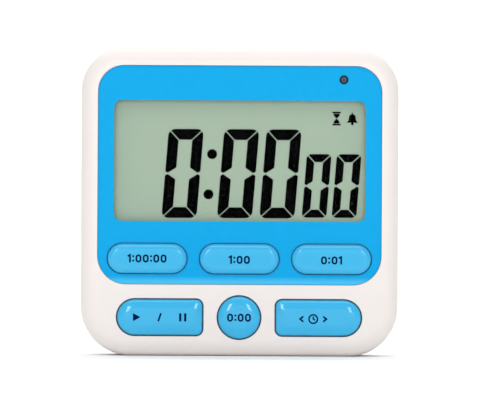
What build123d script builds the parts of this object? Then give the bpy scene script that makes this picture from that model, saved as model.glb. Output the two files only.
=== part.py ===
from build123d import *
from dataclasses import dataclass
import os

# A pocket-sized digital countdown timer that stands on its flat bottom edge.
# Frame: +Z up, +X to the right seen from the front, the face looks towards -Y.
# The origin is on the resting surface, midway across the width and the depth.
# Depths are measured rearwards from the front of the blue panel, in millimetres.

# ---- driving sizes: the body ----
body_width = 77.0
body_height = 74.7
body_low_radius = 12.1
body_high_radius = 10.4
wall = 1.8
front_round = 3.9
rear_round = 2.5
split_depth = 10.0
seam_bevel = 0.2
lip_height = 1.0
lip_thickness = 0.8
fit = 0.1

# ---- the blue panel and the deck that carries it ----
rim_height = 0.3
panel_width = 68.6
panel_low = 17.4
panel_high = 70.3
panel_low_radius = 6.9
panel_high_radius = 6.3
panel_thickness = 1.0
panel_border = 1.5
panel_border_drop = 0.12
deck_back = 2.2

# ---- the display ----
window_width = 61.0
window_low = 32.65
window_high = 61.95
window_radius = 2.0
lens_overlap = 1.2
lens_thickness = 0.8
tape_thickness = 0.1
polariser_overlap = 0.4
polariser_thickness = 0.2
glass_overlap = 1.8
glass_low_margin = 1.0
glass_corner = 0.3
glass_thickness = 0.6
contact_ledge = 2.7
fence_thickness = 0.8
fence_clearance = 0.2
clamp_thickness = 1.0
clamp_border = 3.0
clamp_corner = 1.0
peg_radius = 0.9
peg_offset = 2.2
peg_rows = (40.0, 56.0)
zebra_margin = 2.5
zebra_height = 1.6

# ---- the keys ----
key_pitch = 22.3
upper_row = 23.6
upper_half_length = 9.6
upper_half_height = 3.6
lower_row = 9.4
lower_offset = 19.2
lower_half_length = 10.28
lower_half_height = 4.27
round_key_radius = 5.1
square_corner = 1.5
key_crest = 1.3
key_dome = 0.8
upper_roll = 1.6
lower_roll = 3.0
key_shoulder = 0.45
upper_clearance = 0.22
lower_clearance = 0.35
key_flange = 0.8
flange_thickness = 0.8
flange_clearance = 0.1
key_travel = 0.8

# ---- the rubber mat and its contact pills ----
mat_width = 59.0
mat_low = 4.4
mat_high = 28.6
mat_corner = 3.0
mat_sheet = 0.8
mat_clearance = 0.3
dome_top_radius = 2.8
dome_base_radius = 4.2
dome_web = 0.6
dome_pad = 1.15
pill_radius = 1.8
pill_thickness = 0.5
pill_clearance = 0.05

# ---- the circuit board ----
board_front = 5.6
board_thickness = 1.2
board_width = 60.0
board_low = 4.0
board_high = 34.0
board_corner = 3.0
post_radius = 1.6
post_row = 17.05
post_columns = (9.5, 28.6)
board_screw_radius = 0.6
board_head_radius = 1.6
board_head_height = 0.9
board_screw_length = 3.4
chip_spot = (0.0, 24.5)
chip_radius = 5.0
chip_rise = 1.2
chip_round = 0.95
crystal_radius = 1.0
crystal_length = 6.0
crystal_left = 6.0
crystal_row = 13.0
crystal_round = 0.4
resistor_left = -12.0
resistor_pitch = 3.2
resistor_row = 13.0
resistor_width = 1.25
resistor_height = 2.0
resistor_rise = 0.5
capacitor_left = -10.5
capacitor_pitch = 7.0
capacitor_row = 8.0
capacitor_width = 1.6
capacitor_height = 3.2
capacitor_rise = 1.1
small_part_count = 4
hold_down_x = 16.0
hold_down_width = 4.0
hold_down_overlap = 1.5

# ---- case screws ----
screw_radius = 0.95
head_radius = 1.95
head_height = 1.4
head_inset = 2.3
recess_slot = 0.5
recess_length = 2.5
screw_length = 10.0
boss_radius = 2.6
tube_radius = 3.0
boss_gap = 0.1
boss_end = 10.5
rib_thickness = 1.0
low_screw_inset = 5.1
low_screw_height = 16.4
high_screw_inset = 7.5
high_screw_drop = 6.2

# ---- battery and its bay ----
cell_radius = 5.25
cell_length = 44.5
cell_height = 47.2
jacket_thickness = 0.15
jacket_inset = 0.8
nub_radius = 1.9
nub_length = 1.2
nub_round = 0.4
cell_clearance = 0.4
cell_lift = 0.15
bay_wall = 1.0
bay_floor_front = 5.3
spring_length = 3.2
spring_radius = 2.8
spring_wire = 0.35
spring_turns = 3
contact_thickness = 0.4
contact_size = 8.0
tab_width = 2.0
tab_length = 2.3
wire_radius = 0.5
wire_bend = 1.5
wire_end_drop = 2.5

# ---- battery door ----
door_margin = 1.35
door_thickness = 1.2
door_clearance = 0.2
door_corner = 1.5
leg_depth = 2.6
leg_thickness = 0.75
latch_width = 8.0
foot_width = 5.0
foot_offset = 14.0
grip_width = 9.0
grip_groove = 0.5
grip_pitch = 1.4
grip_count = 3

# ---- kickstand ----
stand_width = 27.6
stand_low = 7.0
stand_thickness = 1.5
stand_corner = 4.0
heel_corner = 0.5
stand_gap = 0.2
hinge_height = 33.4
hinge_inset = 1.05
heel_length = 2.2
pin_radius = 0.8
pin_length = 1.4
pin_clearance = 0.1
recess_wall = 1.8
recess_floor = 1.0
heel_pocket_depth = 3.3
nail_notch_radius = 5.0
nail_notch_rise = 2.5

# ---- magnets and keyhole ----
magnet_radius = 5.0
magnet_thickness = 1.7
magnet_proud = 0.2
magnet_offset = 22.0
hanger_height = 62.0
pocket_skin = 1.2
keyhole_radius = 3.2
keyhole_slot = 1.7
keyhole_rise = 5.0
keyhole_pocket_depth = 3.0
keyhole_wall = 1.0

# ---- sounder, sound switch and alarm lamp ----
side_offset = 25.5
side_height = 28.0
piezo_radius = 9.0
piezo_thickness = 0.25
ceramic_radius = 6.0
ring_height = 2.0
ring_thickness = 1.0
sound_hole_radius = 0.7
sound_hole_circle = 3.6
sound_hole_count = 6
piezo_wire_rise = 3.0
piezo_wire_drop = 5.0
piezo_wire_reach = 7.5
switch_travel = 2.0
switch_length = 8.6
switch_height = 3.6
switch_depth = 2.5
lever_width = 1.5
lever_height = 1.3
lever_rise = 1.7
knob_length = 5.0
knob_height = 2.4
knob_proud = 0.15
plate_length = 14.0
plate_height = 5.0
plate_thickness = 1.3
prong_thickness = 1.2
rail_thickness = 1.0
rail_lip = 0.8
slide_clearance = 0.2
lamp_x = 25.1
lamp_height = 67.05
lamp_radius = 1.0
lamp_length = 3.4
lamp_flange_radius = 1.35
lamp_flange_thickness = 0.8
lamp_clearance = 0.1
lamp_holder_radius = 2.2
lead_radius = 0.25
lead_pitch = 1.27
lead_length = 2.1
lamp_round = 0.6
thin_wire_radius = 0.35
thin_wire_bend = 1.0
lamp_wire_rise = 2.6
lamp_wire_slope = 9.0
lamp_wire_gap = 3.0
lamp_wire_end_drop = 1.6

# ---- places worked out from those sizes ----
body_back = bay_floor_front + bay_wall + 2 * (cell_radius + cell_lift) + door_thickness
head_seat = body_back - head_inset
hinge_depth = body_back - hinge_inset
panel_face_y = (key_crest - body_back - magnet_proud) / 2
half_width = body_width / 2
inner_half_width = half_width - wall
lens_front = panel_thickness + tape_thickness
glass_front = deck_back
glass_back = glass_front + 2 * glass_thickness
reflector_back = glass_back + polariser_thickness
flange_front = deck_back + flange_clearance
flange_back = flange_front + flange_thickness
board_back = board_front + board_thickness
mat_front = board_front - mat_sheet
pill_back = board_front - key_travel - pill_clearance
plate_front = body_back - wall
cell_depth = bay_floor_front + bay_wall + cell_lift + cell_radius
bay_half_length = (cell_length + spring_length + 2 * contact_thickness) / 2
bay_half_height = cell_radius + cell_clearance
spring_end = -bay_half_length + contact_thickness + spring_length
door_front = body_back - door_thickness
rib_x = half_width - (low_screw_inset - boss_radius / 2 + wall) / 2 + wall / 2 - fit
rib_length = low_screw_inset - boss_radius / 2 - wall + 2 * fit
case_screw_spots = [
    (side * (half_width - inset), height)
    for side in (-1, 1)
    for inset, height in (
        (low_screw_inset, low_screw_height),
        (high_screw_inset, body_height - high_screw_drop),
    )
]
board_post_spots = [(side * x, post_row) for side in (-1, 1) for x in post_columns]
peg_x = window_width / 2 + glass_overlap + peg_offset
peg_spots = [(side * peg_x, row) for side in (-1, 1) for row in peg_rows]


@dataclass(frozen=True)
class Key:
    """One key of the face: its centre, half sizes, edge roll, and the end that is cut square."""

    x: float
    z: float
    half_length: float
    half_height: float
    roll: float
    square_side: int = 0


keys = {
    "hour": Key(-key_pitch, upper_row, upper_half_length, upper_half_height, upper_roll),
    "minute": Key(0, upper_row, upper_half_length, upper_half_height, upper_roll),
    "second": Key(key_pitch, upper_row, upper_half_length, upper_half_height, upper_roll),
    "start_stop": Key(
        -lower_offset, lower_row, lower_half_length, lower_half_height, lower_roll, 1
    ),
    "clear": Key(0, lower_row, round_key_radius, round_key_radius, lower_roll),
    "mode": Key(lower_offset, lower_row, lower_half_length, lower_half_height, lower_roll, -1),
}


# ---- shared planes and outlines ----
def at_depth(depth):
    """Upright plane this far behind the panel's front; its normal points to the front."""
    return Plane.XZ.offset(-panel_face_y - depth)


def point(x, depth, z):
    """Point in the shared frame, from a depth behind the panel's front."""
    return (x, panel_face_y + depth, z)


def soft_rectangle(half, low, high, low_radius, high_radius):
    """Rounded rectangle whose lower and upper corners have radii of their own."""
    with BuildSketch(Plane.XY) as shape:
        with Locations((0, (low + high) / 2)):
            Rectangle(2 * half, high - low)
        fillet(shape.vertices().group_by(Axis.Y)[0], low_radius)
        fillet(shape.vertices().group_by(Axis.Y)[-1], high_radius)
    return shape.sketch


def body_outline(inset=0.0):
    """Front view of the body, drawn in by an inset."""
    return soft_rectangle(
        half_width - inset,
        inset,
        body_height - inset,
        body_low_radius - inset,
        body_high_radius - inset,
    )


def panel_outline(growth=0.0):
    """Front view of the blue panel, grown by a clearance."""
    return soft_rectangle(
        panel_width / 2 + growth,
        panel_low - growth,
        panel_high + growth,
        panel_low_radius + growth,
        panel_high_radius + growth,
    )


def window_outline(growth=0.0):
    """Front view of the display window, grown by an overlap."""
    radius = window_radius + growth
    return soft_rectangle(
        window_width / 2 + growth, window_low - growth, window_high + growth, radius, radius
    )


def key_outline(key, growth=0.0):
    """Front view of a key, grown by a clearance or a flange."""
    radius = key.half_height + growth
    end_centre = key.half_length - key.half_height
    with BuildSketch(Plane.XY) as shape:
        if end_centre > 0:
            with Locations((key.x, key.z)):
                Rectangle(2 * end_centre, 2 * radius)
        for side in (-1, 1):
            with Locations((key.x + side * end_centre, key.z)):
                if side == key.square_side:
                    RectangleRounded(2 * radius, 2 * radius, square_corner + growth)
                else:
                    Circle(radius)
    return shape.sketch


def glass_outline(low):
    """Front view of one display glass, from its lower edge to the shared upper edge."""
    half = window_width / 2 + glass_overlap
    return soft_rectangle(half, low, window_high + glass_overlap, glass_corner, glass_corner)


glass_low = window_low - glass_overlap - polariser_overlap - glass_low_margin

# ---- front shell ----
with BuildPart() as front_shell:
    with BuildSketch(at_depth(-rim_height)):
        add(body_outline())
    extrude(amount=-(rim_height + split_depth))
    fillet(front_shell.faces().sort_by(Axis.Y)[0].edges(), front_round)
    chamfer(front_shell.faces().sort_by(Axis.Y)[-1].edges(), seam_bevel)
    with BuildSketch(at_depth(deck_back)):
        add(body_outline(wall))
    extrude(amount=-(split_depth - deck_back), mode=Mode.SUBTRACT)
    with BuildSketch(at_depth(split_depth - lip_height - fit)):
        add(body_outline(wall - lip_thickness - fit))
    extrude(amount=-(lip_height + fit), mode=Mode.SUBTRACT)
    with BuildSketch(at_depth(-rim_height)):
        add(panel_outline(fit))
    extrude(amount=-(rim_height + panel_thickness), mode=Mode.SUBTRACT)
    # fence that keeps the glass centred, bosses, posts, pegs and the lamp holder
    with BuildSketch(at_depth(deck_back)):
        fence_inner = window_width / 2 + glass_overlap + fence_clearance
        fence_low = glass_low - fence_clearance
        fence_high = window_high + glass_overlap + fence_clearance
        add(
            soft_rectangle(
                fence_inner + fence_thickness,
                fence_low - fence_thickness,
                fence_high + fence_thickness,
                fence_thickness,
                fence_thickness,
            )
        )
        with Locations((0, (fence_low + fence_high) / 2)):
            Rectangle(2 * fence_inner, fence_high - fence_low, mode=Mode.SUBTRACT)
    extrude(amount=-(2 * glass_thickness))
    with BuildSketch(at_depth(deck_back)):
        with Locations(*case_screw_spots):
            Circle(boss_radius)
    extrude(amount=-(boss_end - boss_gap - deck_back))
    with BuildSketch(at_depth(deck_back)):
        for side in (-1, 1):
            with Locations((side * rib_x, low_screw_height)):
                Rectangle(rib_length, rib_thickness)
    extrude(amount=-(split_depth - lip_height - 2 * fit - deck_back))
    with BuildSketch(at_depth(deck_back)):
        with Locations(*board_post_spots):
            Circle(post_radius)
    extrude(amount=-(board_front - deck_back))
    with BuildSketch(at_depth(deck_back)):
        with Locations(*peg_spots):
            Circle(peg_radius)
    extrude(amount=-(reflector_back + clamp_thickness + peg_radius / 2 - deck_back))
    with BuildSketch(at_depth(deck_back)):
        with Locations((lamp_x, lamp_height)):
            Circle(lamp_holder_radius)
    extrude(amount=-(lamp_length - deck_back))
    # openings for the lens, the keys and the lamp, and the pilot holes
    with BuildSketch(at_depth(-rim_height)):
        add(window_outline(lens_overlap + fit))
        for key in keys.values():
            add(key_outline(key, upper_clearance if key.z == upper_row else lower_clearance))
        with Locations((lamp_x, lamp_height)):
            Circle(lamp_radius + lamp_clearance)
    extrude(amount=-(rim_height + lamp_length), mode=Mode.SUBTRACT)
    with BuildSketch(at_depth(boss_end)):
        with Locations(*case_screw_spots):
            Circle(screw_radius + fit / 2)
    extrude(amount=boss_end - deck_back - wall, mode=Mode.SUBTRACT)
    with BuildSketch(at_depth(board_front)):
        with Locations(*board_post_spots):
            Circle(board_screw_radius + fit / 2)
    extrude(amount=board_screw_length - board_thickness + fit, mode=Mode.SUBTRACT)


# ---- face panel, lens tape and lens ----
with BuildPart() as face_panel:
    with BuildSketch(at_depth(0)):
        add(panel_outline())
    extrude(amount=-panel_thickness)
    panel_front = face_panel.faces().sort_by(Axis.Y)[0]
    chamfer(panel_front.edges(), panel_border, panel_border_drop, reference=panel_front)
    with BuildSketch(at_depth(0)):
        add(window_outline())
        for key in keys.values():
            if key.z == upper_row:
                add(key_outline(key, upper_clearance))
        with Locations((lamp_x, lamp_height)):
            Circle(lamp_radius + lamp_clearance)
    extrude(amount=-panel_thickness, mode=Mode.SUBTRACT)

with BuildPart() as lens_tape:
    with BuildSketch(at_depth(panel_thickness)):
        add(window_outline(lens_overlap))
        add(window_outline(), mode=Mode.SUBTRACT)
    extrude(amount=-tape_thickness)

with BuildPart() as display_lens:
    with BuildSketch(at_depth(lens_front)):
        add(window_outline(lens_overlap))
    extrude(amount=-lens_thickness)

# ---- display cell: polariser, two glasses, reflector, zebra strip and clamp ----
rear_glass_low = glass_low + contact_ledge

with BuildPart() as lcd_front_polariser:
    with BuildSketch(at_depth(glass_front - polariser_thickness)):
        add(window_outline(polariser_overlap))
    extrude(amount=-polariser_thickness)

with BuildPart() as lcd_front_glass:
    with BuildSketch(at_depth(glass_front)):
        add(glass_outline(glass_low))
    extrude(amount=-glass_thickness)

with BuildPart() as lcd_rear_glass:
    with BuildSketch(at_depth(glass_front + glass_thickness)):
        add(glass_outline(rear_glass_low))
    extrude(amount=-glass_thickness)

with BuildPart() as lcd_reflector:
    with BuildSketch(at_depth(glass_back)):
        add(glass_outline(rear_glass_low))
    extrude(amount=-polariser_thickness)

with BuildPart() as zebra_strip:
    with BuildSketch(at_depth(glass_front + glass_thickness)):
        with Locations((0, glass_low + contact_ledge / 2 - fit)):
            Rectangle(window_width - 2 * zebra_margin, zebra_height)
    extrude(amount=-(board_front - glass_front - glass_thickness))

with BuildPart() as lcd_clamp:
    with BuildSketch(at_depth(reflector_back)):
        clamp_half = window_width / 2 + glass_overlap + clamp_border / 2
        clamp_high = window_high + glass_overlap + fence_thickness
        add(soft_rectangle(clamp_half, rear_glass_low, clamp_high, clamp_corner, clamp_corner))
        with Locations(*peg_spots):
            Circle(peg_radius + fence_thickness)
        with Locations((0, (rear_glass_low + clamp_high) / 2)):
            Rectangle(
                2 * (clamp_half - clamp_border),
                clamp_high - rear_glass_low - 2 * clamp_border,
                mode=Mode.SUBTRACT,
            )
        with Locations(*peg_spots):
            Circle(peg_radius + fit / 2, mode=Mode.SUBTRACT)
    extrude(amount=-clamp_thickness)


# ---- keys: caps with a flat crown, a rolled edge, and a flange behind the deck ----
def dome_section(key, x, halves):
    """Cross-section of a cap square to X: its upper half, or both halves."""
    radius = key.half_height
    crest = panel_face_y - key_crest
    back = panel_face_y + flange_front
    with BuildSketch(Plane(origin=(x, 0, key.z), x_dir=(0, 1, 0), z_dir=(1, 0, 0))) as section:
        with BuildLine():
            middle = Line((back, 0), (crest, 0))
            crown = Line(middle @ 1, (crest, radius - key.roll))
            edge = TangentArc(crown @ 1, (crest + key_dome, radius), tangent=(0, 1))
            side = Line(edge @ 1, (back, radius))
            Line(side @ 1, middle @ 0)
        make_face()
        fillet(section.vertices().group_by(Axis.Y)[-1].sort_by(Axis.X)[0], key_shoulder)
        if halves == 2:
            mirror(about=Plane.XZ)
    return section.sketch


def make_key(key):
    """Cap and flange of one key."""
    end_centre = key.half_length - key.half_height
    left, right = (
        key.x + side * (key.half_length if side == key.square_side else end_centre)
        for side in (-1, 1)
    )
    with BuildPart() as cap:
        if right > left:
            extrude(dome_section(key, left, halves=2), amount=right - left)
        if key.square_side:
            corners = cap.edges().filter_by(Axis.Y).group_by(Axis.X)
            fillet(corners[-1 if key.square_side > 0 else 0], square_corner)
        for side in (-1, 1):
            if side != key.square_side:
                centre = key.x + side * end_centre
                turn = Axis((centre, 0, key.z), (0, side, 0))
                revolve(dome_section(key, centre, halves=1), axis=turn, revolution_arc=180)
        with BuildSketch(at_depth(flange_front)):
            add(key_outline(key, key_flange))
        extrude(amount=-flange_thickness)
    return cap


def make_pill(key):
    """Carbon contact pill under one key."""
    with BuildPart() as pill:
        with BuildSketch(at_depth(pill_back - pill_thickness)):
            with Locations((key.x, key.z)):
                Circle(pill_radius)
        extrude(amount=-pill_thickness)
    return pill


caps = {name: make_key(key) for name, key in keys.items()}
pills = {name: make_pill(key) for name, key in keys.items()}

# ---- rubber mat: a sheet on the board with a hollow dome behind each key ----
key_spots = [(key.x, key.z) for key in keys.values()]
pad_back = flange_back + dome_pad
with BuildPart() as key_mat:
    with BuildSketch(at_depth(mat_front)):
        add(soft_rectangle(mat_width / 2, mat_low, mat_high, mat_corner, mat_corner))
    extrude(amount=-mat_sheet)
    for x, z in key_spots:
        with Locations(Location(point(x, (flange_back + mat_front) / 2, z), (90, 0, 0))):
            Cone(dome_base_radius, dome_top_radius, mat_front - flange_back)
    for x, z in key_spots:
        with Locations(Location(point(x, (pad_back + board_front) / 2, z), (90, 0, 0))):
            Cone(
                dome_base_radius - dome_web,
                dome_top_radius - dome_web / 2,
                board_front - pad_back,
                mode=Mode.SUBTRACT,
            )
    with BuildSketch(at_depth(flange_back)):
        with Locations(*board_post_spots):
            Circle(post_radius + mat_clearance)
    extrude(amount=-(board_front - flange_back), mode=Mode.SUBTRACT)

# ---- circuit board and what is soldered to it ----
with BuildPart() as circuit_board:
    with BuildSketch(at_depth(board_front)):
        add(soft_rectangle(board_width / 2, board_low, board_high, board_corner, board_corner))
        with Locations(*board_post_spots):
            Circle(board_screw_radius + fit, mode=Mode.SUBTRACT)
    extrude(amount=-board_thickness)

with BuildPart() as chip_cover:
    with BuildSketch(at_depth(board_back)):
        with Locations(chip_spot):
            Circle(chip_radius)
    extrude(amount=-chip_rise)
    fillet(chip_cover.faces().sort_by(Axis.Y)[-1].edges(), chip_round)

with BuildPart() as quartz_crystal:
    with BuildSketch(Plane.YZ.offset(crystal_left)):
        with Locations((panel_face_y + board_back + crystal_radius, crystal_row)):
            Circle(crystal_radius)
    extrude(amount=crystal_length)
    fillet(quartz_crystal.faces().sort_by(Axis.X)[-1].edges(), crystal_round)

resistor_spots = [
    (resistor_left + resistor_pitch * step, resistor_row) for step in range(small_part_count)
]
with BuildPart() as board_resistors:
    with BuildSketch(at_depth(board_back)):
        with Locations(*resistor_spots):
            Rectangle(resistor_width, resistor_height)
    extrude(amount=-resistor_rise)

capacitor_spots = [
    (capacitor_left + capacitor_pitch * step, capacitor_row) for step in range(small_part_count)
]
with BuildPart() as board_capacitors:
    with BuildSketch(at_depth(board_back)):
        with Locations(*capacitor_spots):
            Rectangle(capacitor_width, capacitor_height)
    extrude(amount=-capacitor_rise)

with BuildPart() as board_screws:
    with BuildSketch(at_depth(board_back)):
        with Locations(*board_post_spots):
            Circle(board_head_radius)
    extrude(amount=-board_head_height)
    with BuildSketch(at_depth(board_back)):
        with Locations(*board_post_spots):
            Circle(board_screw_radius)
    extrude(amount=board_screw_length)

# ---- alarm lamp and its wires ----
with BuildPart() as alarm_lamp:
    with BuildSketch(at_depth(0)):
        with Locations((lamp_x, lamp_height)):
            Circle(lamp_radius)
    extrude(amount=-lamp_length)
    fillet(alarm_lamp.faces().sort_by(Axis.Y)[0].edges(), lamp_round)
    with BuildSketch(at_depth(lamp_length)):
        with Locations((lamp_x, lamp_height)):
            Circle(lamp_flange_radius)
    extrude(amount=-lamp_flange_thickness)

lamp_back = lamp_length + lamp_flange_thickness
lead_end = lamp_back + lead_length
lead_spots = [(lamp_x + side * lead_pitch / 2, lamp_height) for side in (-1, 1)]
with BuildPart() as lamp_leads:
    with BuildSketch(at_depth(lamp_back)):
        with Locations(*lead_spots):
            Circle(lead_radius)
    extrude(amount=-lead_length)


def make_wires(routes, bends, radius):
    """Insulated wires, each swept along straight runs joined by tangent arcs."""
    with BuildPart() as wires:
        for route in routes:
            with BuildLine() as path:
                FilletPolyline(*[point(*spot) for spot in route], radius=bends)
            start = Plane(origin=path.line @ 0, z_dir=path.line % 0)
            with BuildSketch(start):
                Circle(radius)
            sweep(path=path.line)
    return wires


wire_column = bay_half_length + bay_wall + lamp_wire_gap
wire_run = lead_end + lamp_wire_rise
lamp_wire_end = board_high - lamp_wire_end_drop
lamp_wires = make_wires(
    [
        [
            (lamp_x + shift, lead_end, lamp_height),
            (lamp_x + shift, wire_run, lamp_height),
            (wire_column + shift, wire_run, lamp_height - lamp_wire_slope),
            (wire_column + shift, wire_run, lamp_wire_end),
            (wire_column + shift, board_back, lamp_wire_end),
        ]
        for shift in (-lead_pitch / 2, lead_pitch / 2)
    ],
    thin_wire_bend,
    thin_wire_radius,
)

# ---- rear cover ----
bay_low = cell_height - bay_half_height
bay_high = cell_height + bay_half_height
door_half_length = bay_half_length + bay_wall + door_margin
door_half_height = bay_half_height + bay_wall + door_margin
recess_half = stand_width / 2 + stand_gap
recess_low = stand_low - stand_gap
recess_high = hinge_height + heel_length + stand_gap
recess_depth = hinge_depth - stand_thickness / 2 - stand_gap
heel_pocket_low = hinge_height - pin_radius - stand_gap
heel_floor = body_back - heel_pocket_depth
magnet_front = body_back + magnet_proud - magnet_thickness
magnet_spots = [(side * magnet_offset, hanger_height) for side in (-1, 1)]
slot_half = knob_length / 2 + switch_travel + slide_clearance
piezo_spot = (-side_offset, side_height)
slider_spot = (side_offset, side_height)
slide_front = plate_front - fit - plate_thickness
rail_offset = plate_height / 2 + slide_clearance + rail_thickness / 2
rail_half = plate_length / 2 + switch_travel + slide_clearance

with BuildPart() as rear_cover:
    with BuildSketch(at_depth(split_depth)):
        add(body_outline())
    extrude(amount=-(body_back - split_depth))
    fillet(rear_cover.faces().sort_by(Axis.Y)[-1].edges(), rear_round)
    chamfer(rear_cover.faces().sort_by(Axis.Y)[0].edges(), seam_bevel)
    with BuildSketch(at_depth(split_depth)):
        add(body_outline(wall))
    extrude(amount=-(plate_front - split_depth), mode=Mode.SUBTRACT)
    # lip that enters the front shell, tied back to the wall
    with BuildSketch(at_depth(split_depth - lip_height)):
        add(body_outline(wall - lip_thickness))
        add(body_outline(wall), mode=Mode.SUBTRACT)
    extrude(amount=-(2 * lip_height))
    # bay, stand recess, magnet pockets, keyhole box and screw tubes, as solid blocks
    with BuildSketch(at_depth(bay_floor_front)):
        with Locations((0, cell_height)):
            Rectangle(2 * (bay_half_length + bay_wall), 2 * (bay_half_height + bay_wall))
    extrude(amount=-(plate_front - bay_floor_front))
    with BuildSketch(at_depth(recess_depth - recess_floor)):
        with Locations((0, (recess_low + recess_high) / 2)):
            Rectangle(2 * (recess_half + recess_wall), recess_high - recess_low + 2 * recess_wall)
    extrude(amount=-(plate_front - recess_depth + recess_floor))
    with BuildSketch(at_depth(heel_floor - recess_floor)):
        with Locations((0, (heel_pocket_low + recess_high) / 2)):
            Rectangle(
                2 * (recess_half + recess_wall), recess_high - heel_pocket_low + 2 * recess_floor
            )
    extrude(amount=-(plate_front - heel_floor + recess_floor))
    with BuildSketch(at_depth(magnet_front - pocket_skin)):
        with Locations(*magnet_spots):
            Circle(magnet_radius + fit + pocket_skin)
    extrude(amount=-(plate_front - magnet_front + pocket_skin))
    keyhole_box_width = 2 * (keyhole_radius + keyhole_wall + fit)
    keyhole_box_height = keyhole_box_width + keyhole_rise
    keyhole_centre = hanger_height + keyhole_rise / 2
    with BuildSketch(at_depth(plate_front - keyhole_pocket_depth - keyhole_wall)):
        with Locations((0, keyhole_centre)):
            Rectangle(keyhole_box_width, keyhole_box_height)
    extrude(amount=-(keyhole_pocket_depth + keyhole_wall))
    with BuildSketch(at_depth(boss_end)):
        with Locations(*case_screw_spots):
            Circle(tube_radius)
        for side in (-1, 1):
            with Locations((side * rib_x, low_screw_height)):
                Rectangle(rib_length, rib_thickness)
    extrude(amount=-(plate_front - boss_end))
    # sounder ring, slider rails with their lips, and fingers that hold the board down
    with BuildSketch(at_depth(plate_front - ring_height)):
        with Locations(piezo_spot):
            Circle(piezo_radius)
            Circle(piezo_radius - ring_thickness, mode=Mode.SUBTRACT)
    extrude(amount=-ring_height)
    with BuildSketch(at_depth(slide_front - slide_clearance - rail_lip)):
        for side in (-1, 1):
            with Locations((slider_spot[0], slider_spot[1] + side * rail_offset)):
                Rectangle(2 * rail_half, rail_thickness)
    extrude(amount=-(plate_front - slide_front + slide_clearance + rail_lip))
    with BuildSketch(at_depth(slide_front - slide_clearance - rail_lip)):
        for side in (-1, 1):
            with Locations((slider_spot[0], slider_spot[1] + side * (rail_offset - rail_lip))):
                Rectangle(2 * rail_half, rail_thickness)
    extrude(amount=-rail_lip)
    with BuildSketch(at_depth(board_back + fit)):
        for side in (-1, 1):
            finger_low = board_high - hold_down_overlap
            with Locations((side * hold_down_x, (finger_low + bay_low - bay_wall) / 2)):
                Rectangle(hold_down_width, bay_low - bay_wall - finger_low)
    extrude(amount=-hold_down_overlap)
    # hollows, cut from the rear
    with BuildSketch(at_depth(body_back)):
        with Locations((0, cell_height)):
            Rectangle(2 * bay_half_length, 2 * bay_half_height)
    extrude(amount=body_back - bay_floor_front - bay_wall, mode=Mode.SUBTRACT)
    with BuildSketch(at_depth(body_back)):
        with Locations((0, cell_height)):
            RectangleRounded(
                2 * (door_half_length + door_clearance),
                2 * (door_half_height + door_clearance),
                door_corner + door_clearance,
            )
    extrude(amount=door_thickness, mode=Mode.SUBTRACT)
    with BuildSketch(at_depth(body_back)):
        add(
            soft_rectangle(
                recess_half, recess_low, recess_high, stand_corner + stand_gap, stand_gap
            )
        )
        with Locations((0, recess_low)):
            Ellipse(nail_notch_radius, nail_notch_rise)
    extrude(amount=body_back - recess_depth, mode=Mode.SUBTRACT)
    with BuildSketch(at_depth(body_back)):
        with Locations((0, (heel_pocket_low + recess_high) / 2)):
            Rectangle(2 * recess_half, recess_high - heel_pocket_low)
    extrude(amount=heel_pocket_depth, mode=Mode.SUBTRACT)
    with BuildSketch(Plane.YZ.offset(-(recess_half + pin_length + fit))):
        with Locations((panel_face_y + hinge_depth, hinge_height)):
            Circle(pin_radius + pin_clearance)
    extrude(amount=2 * (recess_half + pin_length + fit), mode=Mode.SUBTRACT)
    with BuildSketch(at_depth(body_back)):
        with Locations(*magnet_spots):
            Circle(magnet_radius + fit)
    extrude(amount=body_back - magnet_front, mode=Mode.SUBTRACT)
    with BuildSketch(at_depth(body_back)):
        with Locations((0, hanger_height)):
            Circle(keyhole_radius)
        with Locations((0, hanger_height + keyhole_rise / 2)):
            Rectangle(2 * keyhole_slot, keyhole_rise)
        with Locations((0, hanger_height + keyhole_rise)):
            Circle(keyhole_slot)
    extrude(amount=wall, mode=Mode.SUBTRACT)
    with BuildSketch(at_depth(plate_front)):
        with Locations((0, keyhole_centre)):
            Rectangle(
                keyhole_box_width - 2 * keyhole_wall, keyhole_box_height - 2 * keyhole_wall
            )
    extrude(amount=keyhole_pocket_depth, mode=Mode.SUBTRACT)
    with BuildSketch(at_depth(body_back)):
        with Locations(*case_screw_spots):
            Circle(head_radius + fit)
    extrude(amount=body_back - head_seat, mode=Mode.SUBTRACT)
    with BuildSketch(at_depth(head_seat)):
        with Locations(*case_screw_spots):
            Circle(screw_radius + fit)
    extrude(amount=head_seat - boss_end, mode=Mode.SUBTRACT)
    with BuildSketch(at_depth(body_back)):
        with Locations(piezo_spot):
            Circle(sound_hole_radius)
            with PolarLocations(sound_hole_circle, sound_hole_count):
                Circle(sound_hole_radius)
        with Locations(slider_spot):
            Rectangle(2 * slot_half, knob_height + 2 * slide_clearance)
    extrude(amount=wall, mode=Mode.SUBTRACT)
    # slits that pass the solder tabs of the battery contacts
    with BuildSketch(Plane.XY.offset(bay_low - bay_wall)):
        for side in (-1, 1):
            slit_x = side * (bay_half_length - contact_thickness / 2)
            with Locations((slit_x, panel_face_y + cell_depth)):
                Rectangle(contact_thickness, tab_width + fit)
    extrude(amount=bay_wall, mode=Mode.SUBTRACT)

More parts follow.
